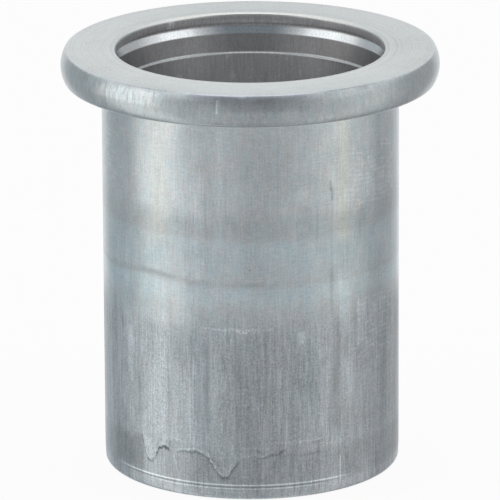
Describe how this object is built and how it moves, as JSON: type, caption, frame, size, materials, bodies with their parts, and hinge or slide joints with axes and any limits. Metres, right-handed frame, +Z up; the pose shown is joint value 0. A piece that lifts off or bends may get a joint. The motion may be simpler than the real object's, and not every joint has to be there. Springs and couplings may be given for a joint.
{
  "type": "rivet nut",
  "caption": "Flat-head blind rivet nut with a round flange, an undercut mouth, a plain thin-walled shank that folds when it is set, and an internal thread open at the foot.",
  "frame": {"origin": "centre of the foot's face, on the nut's axis", "axes": "+Z runs up the axis from the open foot to the head; the nut is round about it, so X and Y are free"},
  "size_m": [0.014, 0.014, 0.0158],
  "materials": {
    "bare_aluminium": "bare metal as turned and headed, satin, with drawing marks along the shank and light handling scratches"
  },
  "bodies": {
    "root": {"rivet_nut": "bare_aluminium"}
  },
  "joints": []
}
